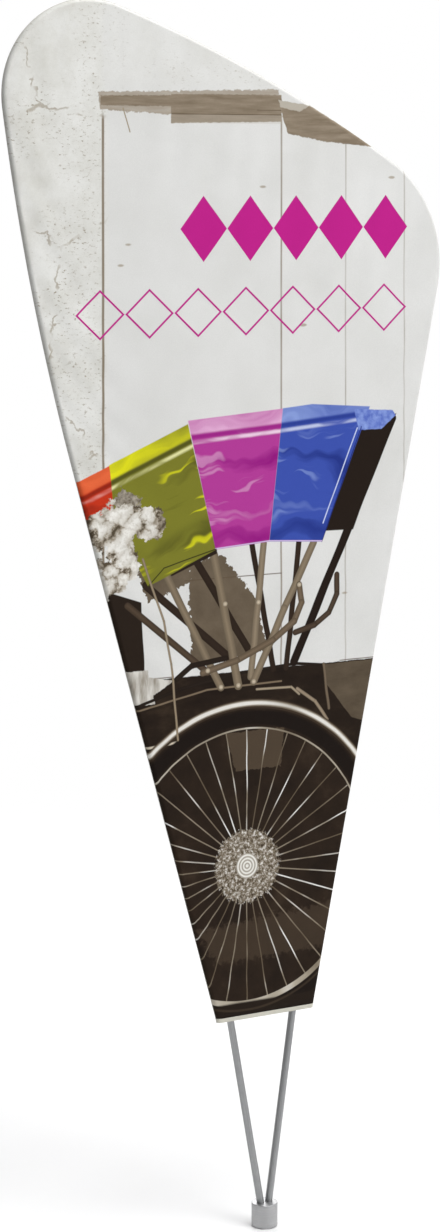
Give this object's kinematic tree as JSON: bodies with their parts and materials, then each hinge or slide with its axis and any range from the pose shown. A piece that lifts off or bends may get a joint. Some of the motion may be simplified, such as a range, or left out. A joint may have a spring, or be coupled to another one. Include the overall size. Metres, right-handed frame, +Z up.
{
  "type": "teardrop flag",
  "caption": "Two-sided teardrop fabric flag on a sectional tube frame, with two legs in a round hub that spins on a bearing over a ground spindle.",
  "frame": {"origin": "centre of the spindle bore at the sleeve's underside, where the flag rests on its ground stake", "axes": "+Z up along the spin axis, +X to the right across the flag seen from its front, -Y out of the front panel"},
  "size_m": [0.8725, 0.046, 2.1525],
  "materials": {
    "anodised_tube": "satin clear anodised",
    "anodised_hub": "satin clear anodised, fine turned",
    "plain_steel": "zinc plated",
    "bearing_steel": "ground and polished",
    "spring_steel": "phosphated",
    "cage_polymer": "moulded",
    "elbow_polymer": "moulded",
    "printed_fabric": "dye-printed polyester knit",
    "hem_fabric": "overlocked hem",
    "zip_tape": "woven tape",
    "zip_coil": "nylon coil",
    "zip_metal": "nickel plated"
  },
  "bodies": {
    "stand": {"spindle_sleeve": "plain_steel", "bearing_inner_ring": "bearing_steel", "sleeve_snap_ring": "spring_steel"},
    "cage": {"bearing_ball_1": "bearing_steel", "bearing_ball_2": "bearing_steel", "bearing_ball_3": "bearing_steel", "bearing_ball_4": "bearing_steel", "bearing_ball_5": "bearing_steel", "bearing_ball_6": "bearing_steel", "bearing_ball_7": "bearing_steel", "bearing_ball_8": "bearing_steel", "bearing_cage": "cage_polymer"},
    "flag": {"back_hem": "hem_fabric", "back_panel": "printed_fabric", "bearing_circlip": "spring_steel", "bearing_outer_ring": "bearing_steel", "bearing_shield": "plain_steel", "bottom_rail": "anodised_tube", "front_hem": "hem_fabric", "front_panel": "printed_fabric", "hub_body": "anodised_hub", "joint_1_spigot": "anodised_tube", "joint_1_spring": "spring_steel", "joint_2_spigot": "anodised_tube", "joint_2_spring": "spring_steel", "joint_3_spigot": "anodised_tube", "joint_3_spring": "spring_steel", "joint_4_spigot": "anodised_tube", "joint_4_spring": "spring_steel", "left_corner_elbow": "elbow_polymer", "left_grub_screw": "plain_steel", "left_leg_plug": "plain_steel", "left_leg_spring": "spring_steel", "left_leg_tube": "anodised_tube", "left_lower_tube": "anodised_tube", "left_upper_tube": "anodised_tube", "right_corner_elbow": "elbow_polymer", "right_grub_screw": "plain_steel", "right_leg_plug": "plain_steel", "right_leg_spring": "spring_steel", "right_leg_tube": "anodised_tube", "right_lower_tube": "anodised_tube", "top_left_bend_tube": "anodised_tube", "top_right_bend_tube": "anodised_tube", "zip_bottom_stop": "zip_metal", "zip_left_coil": "zip_coil", "zip_left_tape": "zip_tape", "zip_right_coil": "zip_coil", "zip_right_tape": "zip_tape", "zip_top_stop": "zip_metal"},
    "zip_slider": {"zip_slider": "zip_metal"},
    "zip_pull": {"zip_pull_tab": "zip_metal"},
    "joint_1_button": {"joint_1_button": "plain_steel"},
    "joint_2_button": {"joint_2_button": "plain_steel"},
    "joint_3_button": {"joint_3_button": "plain_steel"},
    "joint_4_button": {"joint_4_button": "plain_steel"},
    "left_leg_button": {"left_leg_button": "plain_steel"},
    "right_leg_button": {"right_leg_button": "plain_steel"}
  },
  "joints": [
    {"name": "flag_spin", "type": "hinge", "parent": "stand", "child": "flag", "pos_m": [0, 0, 0.0087], "axis": [0, 0, 1], "continuous": true},
    {"name": "cage_spin", "type": "hinge", "parent": "stand", "child": "cage", "pos_m": [0, 0, 0.0087], "axis": [0, 0, 1], "continuous": true},
    {"name": "zip_slide", "type": "slide", "parent": "flag", "child": "zip_slider", "axis": [0.2028, 0, 0.9792], "range_m": [0, 1.1794]},
    {"name": "pull_swing", "type": "hinge", "parent": "zip_slider", "child": "zip_pull", "pos_m": [0.08097, 0.01265, 0.41363], "axis": [0.9792, 0, -0.2028], "range_deg": [0, 165]},
    {"name": "joint_1_press", "type": "slide", "parent": "flag", "child": "joint_1_button", "axis": [-0.9618, 0, -0.2736], "range_m": [0, 0.0026], "stiffness_N_per_m": 800, "springref_m": -0.002, "deforming": ["joint_1_spring"]},
    {"name": "joint_2_press", "type": "slide", "parent": "flag", "child": "joint_2_button", "axis": [-0.9897, 0, -0.143], "range_m": [0, 0.0026], "stiffness_N_per_m": 800, "springref_m": -0.002, "deforming": ["joint_2_spring"]},
    {"name": "joint_3_press", "type": "slide", "parent": "flag", "child": "joint_3_button", "axis": [0.4516, 0, 0.8922], "range_m": [0, 0.0026], "stiffness_N_per_m": 800, "springref_m": -0.002, "deforming": ["joint_3_spring"]},
    {"name": "joint_4_press", "type": "slide", "parent": "flag", "child": "joint_4_button", "axis": [0.9792, 0, -0.2028], "range_m": [0, 0.0026], "stiffness_N_per_m": 800, "springref_m": -0.002, "deforming": ["joint_4_spring"]},
    {"name": "left_leg_press", "type": "slide", "parent": "flag", "child": "left_leg_button", "axis": [0, -1, 0], "range_m": [0, 0.0026], "stiffness_N_per_m": 800, "springref_m": -0.002, "deforming": ["left_leg_spring"]},
    {"name": "right_leg_press", "type": "slide", "parent": "flag", "child": "right_leg_button", "axis": [0, -1, 0], "range_m": [0, 0.0026], "stiffness_N_per_m": 800, "springref_m": -0.002, "deforming": ["right_leg_spring"]}
  ],
  "couplings": [
    {"joint": "cage_spin", "follows": "flag_spin", "ratio": 0.6011}
  ]
}
